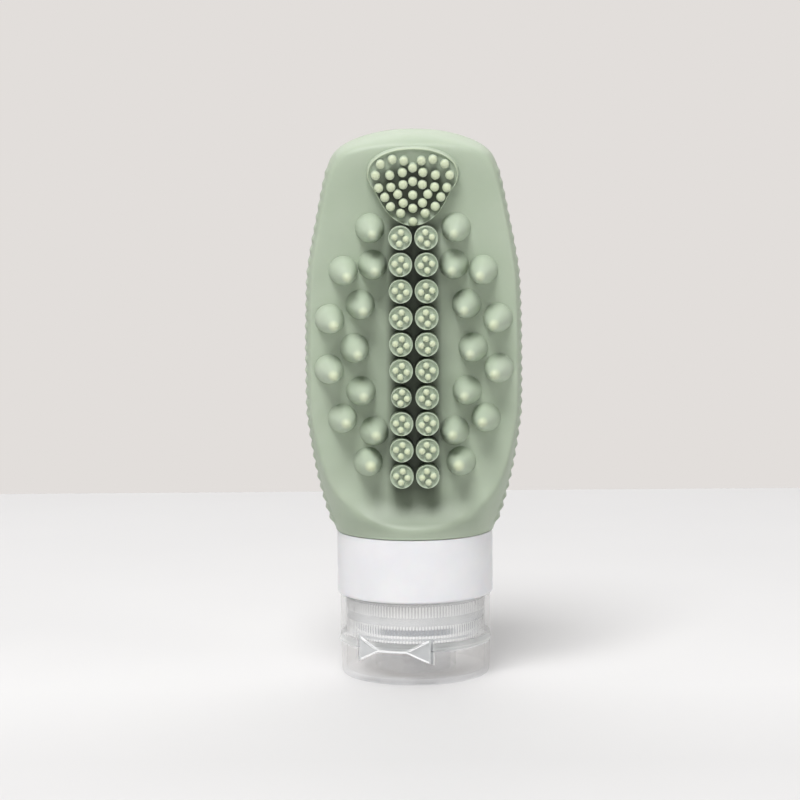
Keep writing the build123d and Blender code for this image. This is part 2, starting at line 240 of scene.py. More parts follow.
body_silicone = silicone_finish("matte_sage_silicone", shaded_body_greens, shadows=body_shadows)
# Each of these paints shade into its recesses and light onto its tips, along Y.
nub_silicone = silicone_finish(
    "sage_silicone_nubs", lit_nub_greens, (-0.0168, -0.013, 0.24), (-0.0212, -0.0229, 0.85)
)
cup_silicone = silicone_finish(
    "sage_silicone_cups", lit_nub_greens, (-0.0205, -0.016, 0.85), (-0.0215, -0.0221, 0.85)
)
rim_silicone = silicone_finish(
    "sage_silicone_pad_rim", shaded_body_greens, tips=(-0.016, -0.0168, 0.25)
)
pad_silicone = silicone_finish(
    "sage_silicone_pad", lit_nub_greens, (-0.0168, -0.0157, 0.97), (-0.017, -0.0179, 0.7),
    hollow=(0.129, 0.0096, 0.006),
)
print("silicone finishes", [m.name for m in bpy.data.materials if "silicone" in m.name])

# %% [markdown]
# ## The body's form
# The body is a shell: round at the collar, squarish at the middle, and cut flat in front
# for the massage face. A sheet of small squares is wrapped round it, and each row takes
# its outline from a table of measured sections, because the side ridges, the face's soft
# edge and the scoop below it need rows at the right heights. Near the crown the rows
# follow the square root of the distance from it, which keeps the rounded top even.

# %% Measured sections of the body
crown = 144.9
# Height, half width, front, back, front squareness, back squareness, in mm
body_sections = [
    (38.6, 20.7, 20.7, 20.7, 2, 2),
    (42, 22.15, 21.95, 20.5, 2.05, 2.05),
    (45.5, 23.3, 22.7, 20.1, 2.1, 2.1),
    (50, 24.45, 22.85, 19.6, 2.5, 2.2),
    (56, 25.75, 22.7, 18.9, 3.1, 2.4),
    (64, 27.05, 22.2, 18.2, 3.9, 2.6),
    (72, 28, 21.8, 17.75, 4.4, 2.7),
    (80, 28.12, 21.4, 17.5, 4.6, 2.7),
    (88.6, 28.16, 21.2, 17.3, 4.6, 2.7),
    (98, 28.03, 21, 17.2, 4.6, 2.7),
    (106.7, 27.7, 21, 17.1, 4.6, 2.7),
    (114, 26.65, 21, 16.95, 4.6, 2.7),
    (121.6, 25.2, 21, 16.8, 4.5, 2.7),
    (128, 23.95, 20.9, 16.5, 4.4, 2.7),
    (132.8, 22.9, 20.5, 16.15, 4.2, 2.7),
    (136, 22, 19.6, 15.5, 4, 2.7),
    (138.4, 20.8, 18.5, 14.8, 3.8, 2.65),
    (140, 19.3, 17.2, 13.8, 3.5, 2.6),
    (141.6, 16.7, 14.7, 12.2, 3.1, 2.5),
    (142.8, 13.8, 12.2, 10.2, 2.8, 2.4),
    (143.8, 10.4, 9.3, 7.7, 2.6, 2.3),
    (144.45, 7, 6.3, 5.2, 2.3, 2.2),
    (144.9, 0, 0, 0, 2, 2),
]


def smooth_through(knots, values):
    """Curve through measured values that never swings past them."""
    knots, values = np.array(knots, float), np.array(values, float)
    steps = np.diff(knots)
    slopes = np.diff(values) / steps
    tangents = np.concatenate(([slopes[0]], np.zeros(len(knots) - 2), [slopes[-1]]))
    product = slopes[:-1] * slopes[1:]
    same_way = product > 0
    total = np.where(same_way, slopes[:-1] + slopes[1:], 1)
    tangents[1:-1] = np.where(same_way, 2 * product / total, 0)

    def read(at):
        i = np.clip(np.searchsorted(knots, at) - 1, 0, len(steps) - 1)
        t = (at - knots[i]) / steps[i]
        return (
            (1 + 2 * t) * (1 - t) ** 2 * values[i]
            + t * (1 - t) ** 2 * steps[i] * tangents[i]
            + t * t * (3 - 2 * t) * values[i + 1]
            - t * t * (1 - t) * steps[i] * tangents[i + 1]
        )

    return read


from_crown = [sqrt(crown - row[0]) for row in reversed(body_sections)]
section_curves = [
    smooth_through(from_crown, [row[column] for row in reversed(body_sections)])
    for column in range(1, 6)
]


def section_at(level):
    """Half width, front, back and the two powers at a height."""
    return [float(curve(sqrt(max(crown - level, 0)))) for curve in section_curves]


print("half width at mid height", round(section_at(88)[0], 2), "mm")

# %% The massage face: flat, slightly dished, scooped forward at its lower end
panel_face = -14.5
panel_low = 55.0
scoop_radius = 15.8
dish_depth = 1.0
dish_half_width = 27.0
dish_low, dish_low_fade = 52, 22
dish_high, dish_high_fade = 142, 20
edge_softness = smooth_through([24, 46, 58, 132, 138, 142, 146], [1.7, 1.7, 1.0, 1.0, 1.6, 2.6, 3.0])


def eased(value):
    """Smooth step from 0 to 1."""
    value = np.clip(value, 0, 1)
    return value * value * (3 - 2 * value)


def panel_at(across, level, behind=0):
    """Y of the massage face, or of the wall behind it, and None below its scoop."""
    if level < panel_low - scoop_radius - behind:
        return None
    dish = dish_depth * np.clip(1 - (across / dish_half_width) ** 2, 0, 1)
    dish = dish * eased((level - dish_low) / dish_low_fade)
    dish = dish * eased((dish_high - level) / dish_high_fade)
    drop = max(panel_low - level, 0)
    return panel_face - scoop_radius + sqrt((scoop_radius + behind) ** 2 - drop**2) + dish


outline_steps = 1801
front_columns = 60
back_columns = 84
least_corner = 0.62


def half_outline(section, level, behind, flat):
    """Points from the middle of the front round to the middle of the back, in mm."""
    width, front, back, front_power, back_power = section
    turn = np.linspace(-pi / 2, pi / 2, outline_steps)
    power = np.where(turn < 0, front_power, back_power)
    depth = np.where(turn < 0, front, back)
    across = width * np.abs(np.cos(turn)) ** (2 / power)
    along = depth * np.sign(turn) * np.abs(np.sin(turn)) ** (2 / power)
    edge = 0
    panel = panel_at(across, level, behind) if flat else None
    if panel is not None:
        gap = along - panel
        past = np.nonzero(gap > 0)[0]
        edge = across[past[0]] if len(past) else 0
        along = panel + (gap + np.sqrt(gap**2 + float(edge_softness(level)) ** 2)) / 2
    widest = across.max()
    corner = (edge**8 + (least_corner * widest) ** 8) ** (1 / 8)
    front_half = slice(0, outline_steps // 2 + 1)
    # The squares get narrower towards the face's edge, and wider again behind it.
    share = np.linspace(0, 1, front_columns + 1)
    front_x = corner * (1.25 * share - 0.25 * share**3)
    front_y = np.interp(front_x, across[front_half], along[front_half])
    rest = (across > corner) | (turn > 0)
    rest_x = np.concatenate(([corner], across[rest]))
    rest_y = np.concatenate(([front_y[-1]], along[rest]))
    length = np.concatenate(([0], np.cumsum(np.hypot(np.diff(rest_x), np.diff(rest_y)))))
    share = np.linspace(0, 1, back_columns + 1)[1:]
    reach = length[-1] * (0.5 * share + 0.75 * share**2 - 0.25 * share**3)
    back_x, back_y = np.interp(reach, length, rest_x), np.interp(reach, length, rest_y)
    return np.concatenate((front_x, back_x)), np.concatenate((front_y, back_y))


print("columns round the body", 2 * (front_columns + back_columns))

# %% [markdown]
# Small pointed grip ridges run up both side walls. The sheet has six rows to each ridge,
# and the rows that fall on a ridge are pushed outwards. The ridges fade towards the face,
# the back and both ends.

# %% Grip ridges on the side walls
ridge_pitch = 2.87
ridge_low = 40.6
ridge_count = 33
rows_per_ridge = 6
ridge_high = ridge_low + ridge_pitch * ridge_count
ridge_height, ridge_height_loss = 0.62, 0.3
ridge_front, ridge_front_low, low_ridges, low_ridges_fade = 13.4, 7.4, 75, 30
ridge_back, ridge_side, front_fade, back_fade = 8.5, 12, 1.4, 3


def add_ridges(across, along, level):
    """Pushes the side wall out where a ridge runs."""
    phase = ((level - ridge_low) / ridge_pitch) % 1
    height = ridge_height - ridge_height_loss * (level - ridge_low) / (ridge_high - ridge_low)
    ends = float(eased(level - ridge_low) * eased(ridge_high - level))
    rise = height * (1 - abs(2 * phase - 1)) * ends
    shorter = (ridge_front - ridge_front_low) * eased((low_ridges - level) / low_ridges_fade)
    strip = eased((along + ridge_front - shorter) / front_fade) * (across > ridge_side)
    strip = strip * eased((ridge_back - along) / back_fade)
    slope_x, slope_y = np.gradient(across), np.gradient(along)
    size = np.maximum(np.hypot(slope_x, slope_y), 1e-9)
    return across + rise * strip * slope_y / size, along - rise * strip * slope_x / size


print("grip ridges", ridge_count, "to", round(ridge_high, 1), "mm")

# %% Rows of the outer and the inner wall
neck_radius = 18.85
bore_radius = 16.65
neck_low = 24.95
wall = 1.8
foot_level = 39.4
foot_rounding = ((38.68, 0.975), (38.84, 0.991), (39.08, 0.998))
round_rows = 34
inner_round_rows = 14


def round_row(level, radius):
    """Row of the round neck."""
    return level, (radius, radius, radius, 2, 2), False, False


neck_rows = ((neck_low, neck_radius), (38.3, neck_radius), (38.62, 18.95), (38.62, 19.9))
outer_rows = [round_row(level, radius) for level, radius in neck_rows]
for level, share in foot_rounding:
    foot = [v * share for v in section_at(foot_level)[:3]]
    outer_rows.append((level, foot + [2, 2], True, False))
row_step = ridge_pitch / rows_per_ridge
outer_levels = list(np.arange(ridge_low - 3 * row_step, 138.2, row_step))
roundings = np.linspace(sqrt(crown - outer_levels[-1]), 0, round_rows + 1)[1:]
outer_levels += [crown - step**2 for step in roundings]
outer_rows += [(level, section_at(level), True, True) for level in outer_levels]

inner_rows = [round_row(level, bore_radius) for level in (neck_low, 32, 40, 42.2)]
inner_crown = crown - wall
inner_levels = list(np.arange(43.4, 136, 2.4))
roundings = np.linspace(sqrt(inner_crown - inner_levels[-1]), 0, inner_round_rows + 1)[1:]
inner_levels += [inner_crown - step**2 for step in roundings]
for level in inner_levels:
    section = section_at(level)
    narrow = min(1, sqrt(max(inner_crown - level, 0)) / 2.2)
    reaches = [(v - wall) * narrow for v in section[:3]]
    inner_rows.append((level, reaches + section[3:], True, False))
print("rows outside", len(outer_rows), "inside", len(inner_rows))

# %% Helpers for modelling
merge_distance = 0.000002


def choose(*pieces):
    """Selects only these pieces and makes the first one active."""
    bpy.ops.object.select_all(action="DESELECT")
    for piece in pieces:
        piece.select_set(True)
    bpy.context.view_layer.objects.active = pieces[0]


def edit_all(piece):
    """Enters edit mode on a piece, with everything selected."""
    choose(piece)
    bpy.ops.object.mode_set(mode="EDIT")
    bpy.ops.mesh.select_all(action="SELECT")


def leave_edit():
    """Returns to object mode."""
    bpy.ops.object.mode_set(mode="OBJECT")


def select_where(piece, kind, test):
    """Selects the points (VERT) or faces (FACE) whose place passes a test, in edit mode."""
    choose(piece)
    bpy.ops.object.mode_set(mode="EDIT")
    bpy.ops.mesh.select_mode(type=kind)
    bpy.ops.mesh.select_all(action="DESELECT")
    leave_edit()
    for part in piece.data.vertices if kind == "VERT" else piece.data.polygons:
        part.select = test(part.co if kind == "VERT" else part.center)
    bpy.ops.object.mode_set(mode="EDIT")


def finish_mesh(piece):
    """Turns all faces outwards and shades the piece smooth."""
    edit_all(piece)
    bpy.ops.mesh.normals_make_consistent()
    leave_edit()
    bpy.ops.object.shade_smooth()


def keep_corners(piece, degrees):
    """Shades a piece smooth, but for corners sharper than an angle."""
    choose(piece)
    bpy.ops.object.shade_smooth_by_angle(angle=radians(degrees))


def dress(piece, node, finish, body="bottle"):
    """Gives a piece its finish, or keeps its own ones, hides its CAD node and attaches it to a body.
    """
    if finish:
        piece.data.materials.clear()
        piece.data.materials.append(finish)
    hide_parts(node)
    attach(piece, body)
    print(piece.name, "faces", len(piece.data.polygons))


print("modelling helpers ready")

# %% Wrap two sheets round the body and join them at the neck's mouth


def wrapped_sheet(name, rows, behind):
    """Sheet of squares whose rows are laid round the body."""
    columns = 2 * (front_columns + back_columns)
    bpy.ops.mesh.primitive_grid_add(x_subdivisions=columns, y_subdivisions=len(rows) - 1, size=1)
    sheet = bpy.context.object
    sheet.name = name
    places = np.zeros((columns + 1, len(rows), 3))
    for number, (level, section, flat, ridged) in enumerate(rows):
        x, y = half_outline(section, level, behind, flat)
        if ridged:
            x, y = add_ridges(x, y, level)
        x[0] = x[-1] = 0
        places[:, number, 0] = np.concatenate((-x[::-1], x[1:]))
        places[:, number, 1] = np.concatenate((y[::-1], y[1:]))
        places[:, number, 2] = level
    corners = np.array([v.co for v in sheet.data.vertices])
    column = np.rint((corners[:, 0] + 0.5) * columns).astype(int)
    row = np.rint((corners[:, 1] + 0.5) * (len(rows) - 1)).astype(int)
    sheet.data.vertices.foreach_set("co", (places[column, row] * MM).astype(np.float32).ravel())
    edit_all(sheet)
    bpy.ops.mesh.remove_doubles(threshold=merge_distance)
    leave_edit()
    return sheet


bottle_shell = wrapped_sheet("silicone_body", outer_rows, 0)
inner_wall = wrapped_sheet("inner_wall", inner_rows, wall)
# The inner sheet faces the other way, or the bridge between the two would be twisted.
edit_all(inner_wall)
bpy.ops.mesh.flip_normals()
leave_edit()
choose(bottle_shell, inner_wall)
bpy.ops.object.join()
select_where(bottle_shell, "VERT", lambda place: place.z < (neck_low + 0.01) * MM)
bpy.ops.mesh.bridge_edge_loops()
leave_edit()
finish_mesh(bottle_shell)
keep_corners(bottle_shell, 28)
dress(bottle_shell, "bottle_body", body_silicone)

# %% [markdown]
# ## Turned pieces
# Nubs, cups and pegs are round, so each is drawn once as half an outline and spun about its
# axis. A single point is extruded along the outline, which starts and ends on the axis, so
# that the turned form is closed.

# %% Draw an outline, spin it and copy it


def turned(name, outline, steps, upright=False):
    """Closed round form about the Y axis, from (radius, height outwards) in mm, or about Z."""
    points = [
        Vector((radius, 0, height) if upright else (radius, -height, 0)) * MM
        for radius, height in outline
    ]
    bpy.ops.mesh.primitive_plane_add(size=0.0001, location=points[0])
    piece = bpy.context.object
    piece.name = name
    edit_all(piece)
    bpy.ops.mesh.merge(type="CENTER")
    for start, end in zip(points, points[1:]):
        bpy.ops.mesh.extrude_vertices_move(TRANSFORM_OT_translate={"value": end - start})
    bpy.ops.mesh.select_all(action="SELECT")
    axis = (0, 0, 1) if upright else (0, 1, 0)
    bpy.ops.mesh.spin(steps=steps, angle=2 * pi, axis=axis)
    bpy.ops.mesh.select_all(action="SELECT")
    bpy.ops.mesh.remove_doubles(threshold=merge_distance)
    leave_edit()
    bpy.ops.object.transform_apply()
    finish_mesh(piece)
    return piece


def set_out(pattern, name, matrices):
    """Copies a pattern to each place and joins the copies."""
    copies = []
    for matrix in matrices:
        copy = bpy.data.objects.new(name, pattern.data.copy())
        copy.data.transform(matrix)
        bpy.context.scene.collection.objects.link(copy)
        copies.append(copy)
    choose(*copies)
    bpy.ops.object.join()
    return copies[0]


def leaning(place, lean_in, lean_down):
    """Matrix of a place in mm, turned about Z and before that about X."""
    lean = Matrix.Rotation(lean_in, 4, "Z") @ Matrix.Rotation(lean_down, 4, "X")
    return Matrix.Translation(Vector(place) * MM) @ lean


print("turning helpers ready")

# %% [markdown]
# ## Cone nubs
# Eleven cones with small round tips stand on each half of the face, each widest at its foot.
# As the face is dished, they lean slightly inwards.

# %% Turn one nub and set out both fields
nub_outline = [
    (0, -0.9), (3.95, -0.9), (3.92, -0.2), (3.72, 0.2), (3.62, 0.7), (3.42, 1.6), (3.02, 3.0),
    (2.6, 4.3), (2.16, 5.6), (1.76, 6.7), (1.42, 7.5), (1.12, 8.0), (0.78, 8.33),
    (0.42, 8.53), (0.15, 8.6), (0, 8.61),
]
nub_pattern = turned("nub_pattern", nub_outline, 40)
field_side = 22.0
field_span = 61.0
field_middle = 89.0
nub_shares = [
    (0.506, 0.499), (0.478, 0.343), (0.822, 0.319), (0.625, 0.174), (0.99, 0.114),
    (0.697, -0.012), (1.0, -0.101), (0.625, -0.196), (0.846, -0.312), (0.475, -0.368),
    (0.547, -0.499),
]
nub_lean_in = radians(10)
nub_lean_down = radians(9)
lowest_lean_down = radians(1.5)

for side, node_name in ((-1, "massage_spikes_left"), (1, "massage_spikes_right")):
    matrices = []
    for share_across, share_up in nub_shares:
        across, level = side * share_across * field_side, field_middle + share_up * field_span
        face = float(panel_at(np.array(across), level))
        down = nub_lean_down - (nub_lean_down - lowest_lean_down) * eased((0.1 - share_up) / 0.6)
        matrices.append(leaning((across, face, level), -side * share_across * nub_lean_in, down))
    nubs = set_out(nub_pattern, "nubs_left" if side < 0 else "nubs_right", matrices)
    dress(nubs, node_name, nub_silicone)
bpy.data.objects.remove(nub_pattern)

# %% [markdown]
# ## Cups with pegs
# Two rows of ten short tubes stand close together down the middle. Each ends in a thin rim
# round a shallow dish with four small pegs. Cup and peg are turned, and then copied.

# %% Turn a cup and its pegs, and set out both rows
cup_outline = [
    (0, -0.9), (3.06, -0.9), (3.06, 6.75), (3.03, 6.88), (2.96, 6.93), (2.88, 6.88),
    (2.8, 6.72), (2.66, 6.52), (2.4, 6.36), (1.7, 6.26), (0, 6.22),
]
peg_outline = [
    (0, 5.5), (0.9, 5.5), (0.88, 6.9), (0.82, 7.2), (0.66, 7.42), (0.4, 7.55), (0, 7.6),
]
cup_side = 3.35
cup_low = 55.5
cup_pitch = 6.87
cup_count = 10
peg_circle = 1.47
peg_turn = radians(9)
curled_cup = 3
curled_share = 0.86

for side, node_name in ((-1, "bristle_cups_left"), (1, "bristle_cups_right")):
    cup_pattern = turned("cup_pattern", cup_outline, 40)
    peg_pattern = turned("peg_pattern", peg_outline, 16)
    pegs = []
    for number in range(4):
        turn = number * pi / 2 + side * peg_turn
        pegs.append(Matrix.Translation(Vector((cos(turn), 0, sin(turn))) * peg_circle * MM))
    peg_ring = set_out(peg_pattern, "peg_ring", pegs)
    places = [
        Matrix.Translation(Vector((side * cup_side, panel_face, cup_low + number * cup_pitch)) * MM)
        for number in range(cup_count)
    ]
    cup_places = list(places)
    if side < 0:
        narrow = Matrix.Diagonal((curled_share, 1, curled_share, 1))
        cup_places[curled_cup] = places[curled_cup] @ narrow
    cups = set_out(cup_pattern, "cups_left" if side < 0 else "cups_right", cup_places)
    choose(cups, set_out(peg_ring, "row_of_pegs", places))
    bpy.ops.object.join()
    dress(cups, node_name, cup_silicone)
    for pattern in (cup_pattern, peg_pattern, peg_ring):
        bpy.data.objects.remove(pattern)

# %% [markdown]
# ## The pad of pegs
# Above the cups sits a raised pad with the outline of a rounded heart-like triangle. A
# circle is pulled to that outline, then extruded and drawn in ring by ring for the wall,
# the thin rim, the sloping inside and the floor. Its pegs are copied to measured places.

# %% Shape the pad
pad_half_width = 12.0
pad_height = 20.5
pad_high = 140.7
pad_outline_shares = [
    (0.0, 0.0), (0.27, 0.01), (0.54, 0.047), (0.76, 0.107), (0.93, 0.2),
    (0.987, 0.276), (1.0, 0.348), (0.96, 0.442), (0.826, 0.565), (0.683, 0.722),
    (0.54, 0.846), (0.343, 0.94), (0.165, 0.986), (0.0, 1.0),
]
pad_points = 128
half = [Vector((x * pad_half_width, -z * pad_height)) for x, z in pad_outline_shares]
ring = half + [Vector((-p.x, p.y)) for p in half[-2:0:-1]]
ring = ring[-3:] + ring + ring[:4]
reach = np.concatenate(([0], np.cumsum([(b - a).length for a, b in zip(ring, ring[1:])])))
first, last = reach[3], reach[len(ring) - 4]
pad_x = smooth_through(reach, [p.x for p in ring])
pad_z = smooth_through(reach, [p.y for p in ring])
stations = np.linspace(first, last, pad_points, endpoint=False)


def filled_outline(name, places):
    """Circle pulled to places in mm and filled with a face, left in edit mode."""
    bpy.ops.mesh.primitive_circle_add(vertices=len(places), radius=MM)
    piece = bpy.context.object
    piece.name = name
    for vertex, place in zip(piece.data.vertices, places):
        vertex.co = Vector(place) * MM
    edit_all(piece)
    bpy.ops.mesh.edge_face_add()
    return piece


pad_foot = panel_face + 1.2
pad = filled_outline("pad", [
    (float(pad_x(station)), pad_foot, pad_high + float(pad_z(station))) for station in stations
])
pad_middle = Vector((0, 0, pad_high - pad_height / 2)) * MM
pad_tip = Vector((0, 0, pad_high - pad_height)) * MM
height_now, inset_now = panel_face - pad_foot, 0
for finish in (rim_silicone, pad_silicone):
    pad.data.materials.append(finish)
# Inset and height in mm, and centre, of each ring from the foot over the rim to the floor.
# The outer rings shrink towards the pad's lower tip, which slopes its upper wall most.
for inset, height, centre in (
    (0, 0.4, pad_tip), (0.08, 1.0, pad_tip), (0.17, 1.55, pad_tip), (0.26, 1.93, pad_tip),
    (0.35, 2.12, pad_tip), (0.43, 2.18, pad_tip), (0.52, 2.13, pad_middle),
    (0.61, 1.95, pad_middle), (0.75, 1.7, pad_middle), (1.0, 1.5, pad_middle),
    (1.7, 1.36, pad_middle), (3.6, 1.1, pad_middle), (6.0, 0.72, pad_middle),
):
    shrink = (pad_half_width - inset) / (pad_half_width - inset_now)
    bpy.ops.mesh.extrude_region_move(
        TRANSFORM_OT_translate={"value": (0, (height_now - height) * MM, 0)}
    )
    bpy.ops.transform.resize(value=(shrink, 1, shrink), center_override=centre)
    height_now, inset_now = height, inset
leave_edit()
finish_mesh(pad)
# The faces inside the rim lean towards the pad's middle, and get the pad's painted shade.
for face in pad.data.polygons:
    outwards = Vector((face.normal.x, 0, face.normal.z)).dot(face.center - pad_middle)
    if outwards < 0.01 * MM and face.center.y > (panel_face - 2.1) * MM:
        face.material_index = 1
print("pad faces", len(pad.data.polygons))

# %% Turn a pad peg and set out all of them
pad_peg_outline = [
    (0, 0.4), (1.26, 0.4), (1.22, 0.9), (1.2, 2.5), (1.13, 2.9), (0.93, 3.2), (0.6, 3.36),
    (0.25, 3.42), (0, 3.43),
]
pad_peg_shares = [
    (0.702, 0.223), (0.442, 0.166), (0.193, 0.182), (0.811, 0.363), (0.499, 0.362),
    (0.224, 0.328), (0.0, 0.27), (0.745, 0.52), (0.478, 0.511), (0.21, 0.48),
    (0.0, 0.441), (0.612, 0.638), (0.328, 0.601), (0.0, 0.611), (0.488, 0.756),
    (0.211, 0.711), (0.0, 0.779), (0.267, 0.84), (0.0, 0.947),
]
peg_lean_in = radians(5)
peg_lean_down = radians(12)
peg_foot_lift = 0.45
pad_peg_pattern = turned("pad_peg_pattern", pad_peg_outline, 24)
matrices = []
for share_across, share_down in pad_peg_shares:
    for side in (-1, 1) if share_across else (1,):
        foot = pad_high - share_down * pad_height + peg_foot_lift * (1 - share_down)
        place = (side * share_across * pad_half_width, panel_face, foot)
        lean_in = -side * share_across * peg_lean_in
        matrices.append(leaning(place, lean_in, peg_lean_down * (1 - share_down)))
pad_peg_pattern.data.materials.append(pad_silicone)
pad_pegs = set_out(pad_peg_pattern, "pad_pegs", matrices)
bpy.data.objects.remove(pad_peg_pattern)
choose(pad, pad_pegs)
bpy.ops.object.join()
dress(pad, "heart_pad", None)

# %% [markdown]
# ## White and cloudy plastic
# The collar is white polypropylene. The cap is the same plastic left natural, and so it is
# cloudy: part of what lies behind each wall shows, and the rest is pale haze. Refraction
# would look too clear and dark, so each surface is see-through by a fixed share instead.
# Cloudy plastic passes on nearly all the light, so cap base and lid cast no shadow. Flow
# lines and fine noise make the surfaces less even. Bands of colour on the lid, the skirt, the
# ribs and the neck are painted shade and painted highlights, and the pockets' floors, the
# seal ring and the boss are painted grey as painted shade.

# %% Plastic finishes


def plastic_finish(name, colour, shade, rough, relief, cover=1, bands=(), bleed=0):
    """Moulded polypropylene; cover is the share of light that one surface stops.

    Bands paint shade and highlights; each is (low, high, edge, reach across) in mm and
    another colour that is mixed in there.
    """
    finish, shader, node = new_finish(name)
    place, across, _, height = object_place(node)
    base = mottled(node, place, 120, 4, screen_colour(*colour), screen_colour(*shade))
    for low, high, edge, reach, other in bands:
        share = product_of(
            node,
            ramp_of(node, height, (low - edge) * MM, (low + edge) * MM, 0, 1),
            ramp_of(node, height, (high - edge) * MM, (high + edge) * MM, 1, 0),
            ramp_of(node, across, (reach - 1.5) * MM, (reach + 1.5) * MM, 1, 0),
        )
        base = blend_colours(node, share, base, screen_colour(*other))
    flow_lines = node("Mapping", {"Vector": place, "Scale": (1, 1, 0.12)}).outputs["Vector"]
    flow = noise_on(node, flow_lines, 900, 3)
    feed(shader, {
        "Base Color": base,
        "Roughness": ramp_of(node, flow, 0.3, 0.7, rough - 0.02, rough + 0.03),
        "Normal": relief_of(node, noise_on(node, place, 2500, 2), relief),
        "Subsurface Weight": bleed,
        "Subsurface Scale": MM,
        "IOR": 1.49,
        "Alpha": cover,
    })
    return finish


polished, moulded, foamed = 0.000004, 0.000006, 0.00003
round_all = 30
# Colour of the painted highlights in the bands below.
bright = (252, 252, 252)
collar_white = plastic_finish(
    "white_polypropylene", (236, 236, 238), (232, 232, 235), 0.38, moulded, bleed=0.1
)
cap_cloudy = plastic_finish("cloudy_cap", (246, 245, 243), (242, 242, 241), 0.3, polished, 0.245)
deck_cloudy = plastic_finish("cloudy_deck", (218, 220, 219), (213, 215, 214), 0.3, polished, 0.5)
# The lid is painted with two bright lines, at the seam and just above its lower edge, as painted
# highlights, and greyer round its lower edge and end face.
lid_bands = [
    (8.55, 9.2, 0.05, round_all, bright),
    (1.5, 2.1, 0.15, round_all, bright),
    (-0.5, 1.3, 0.2, round_all, (192, 193, 196)),
]
lid_cloudy = plastic_finish(
    "cloudy_lid", (244, 241, 238), (240, 238, 236), 0.3, polished, 0.245, lid_bands
)
inside_clear = plastic_finish("clear_inside", (240, 240, 240), (236, 236, 237), 0.3, polished, 0.12)
# Light bends at the neck's mouth behind the skirt; a dark band and two bright arcs are
# painted on the skirt's front for it, as painted refraction. The skirt is also painted
# darker across its middle, so that it looks paler towards its sides: painted shade.
skirt_middle_shade = (10.9, 20.9, 0.1, 10.5, (188, 191, 193))
mouth_refraction_bands = [
    (12.9, 14.5, 0.15, 9.5, (60, 76, 98)),
    (12.2, 12.7, 0.08, 14, bright),
    (11.6, 12.2, 0.05, 14, (140, 146, 150)),
    (11.0, 11.4, 0.08, 14, bright),
]
skirt_cloudy = plastic_finish(
    "cloudy_skirt", (214, 216, 217), (208, 211, 213), 0.35, polished, 0.48,
    [skirt_middle_shade] + mouth_refraction_bands,
)
# The ribs and the pockets' outer edges get a near-white, denser finish: painted highlight.
rib_highlight_white = plastic_finish(
    "rib_painted_highlight", (254, 254, 253), (251, 251, 251), 0.35, polished, 0.8, mouth_refraction_bands
)
# The lid's seal ring and boss are painted grey: painted shade inside the lid.
ring_shade_grey = plastic_finish("ring_painted_shade", (150, 155, 163), (142, 148, 157), 0.35, polished, 0.26)
# The pockets' floors are painted darker grey: painted shade.
pocket_floor_shade = plastic_finish("pocket_floor_painted_shade", (190, 193, 193), (184, 188, 189), 0.35, polished, 0.5)
hinge_cloudy = plastic_finish("cloudy_hinge", (240, 241, 241), (235, 237, 238), 0.35, polished, 0.4)
hinge_white = plastic_finish("strained_hinge_edge", (250, 250, 250), (246, 246, 247), 0.35, polished)
retainer_white = plastic_finish(
    "retainer_polypropylene", (204, 207, 211), (198, 201, 206), 0.4, moulded
)
valve_milky = plastic_finish(
    "milky_valve_silicone", (176, 181, 188), (168, 174, 182), 0.45, moulded, bleed=0.3
)
gasket_pale = plastic_finish("pale_gasket_foam", (206, 208, 210), (196, 198, 202), 0.7, foamed)
print("plastic finishes", len(bpy.data.materials))

# %% [markdown]
# ## Painted shade on the neck
# Through the cap a blue-grey band shows round the neck's mouth, with a light edge below it:
# the undercut where the thread begins lies in shade. Ramps along Z paint that band as painted
# shade, and its light edge as a painted highlight.

# %% Finishes of the pieces that stay as the solids are
neck_shade_and_highlight = [
    (12.4, 14.3, 0.15, round_all, (70, 84, 100)),
    (11.7, 12.4, 0.1, round_all, bright),
]
insert_white = plastic_finish(
    "insert_polypropylene", (244, 244, 245), (240, 240, 242), 0.4, moulded, 1, neck_shade_and_highlight
)
carried = {"collar": collar_white, "neck_insert": insert_white, "valve_retainer": retainer_white}
for name, finish in carried.items():
    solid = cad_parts[name]
    solid.data.materials.clear()
    solid.data.materials.append(finish)
print("finishes on", len(carried), "solids")

# %% [markdown]
# ## Cutting with a tool piece
# The cap and the lid are turned first, and the hinge's pockets and the thumb scoop are then
# cut with simple tool pieces and the Boolean modifier. Places on the hinge are measured
# along the seam and outwards from the cap's axis.

# %% Directions at the hinge, and the cut
seam_level = 8.95
hinge_azimuth = radians(-18.6)
hinge_out = Vector((sin(hinge_azimuth), -cos(hinge_azimuth), 0))
hinge_along = Vector((cos(hinge_azimuth), sin(hinge_azimuth), 0))
cap_steps = 272
pocket_tip, pocket_edge, pocket_rise, pocket_floor = 4.1, 10.45, 3.565, 19.1
tool_foot, tool_depth = 12, 12


def cut(piece, tool, operation="DIFFERENCE"):
    """Applies a Boolean modifier and removes the tool."""
    choose(piece)
    modifier = piece.modifiers.new("cut", "BOOLEAN")
    modifier.operation = operation
    modifier.solver = "EXACT"
    modifier.object = tool
    bpy.ops.object.modifier_apply(modifier=modifier.name)
    bpy.data.objects.remove(tool)


def round_tool(name, radius, low, high, centre=(0, 0, 0), vertices=160):
    """Upright cylinder between two levels, in mm."""
    place = Vector((centre[0], centre[1], (low + high) / 2)) * MM
    bpy.ops.mesh.primitive_cylinder_add(
        vertices=vertices, radius=radius * MM, depth=(high - low) * MM, location=place
    )
    tool = bpy.context.object
    tool.name = name
    bpy.ops.object.transform_apply()
    return tool


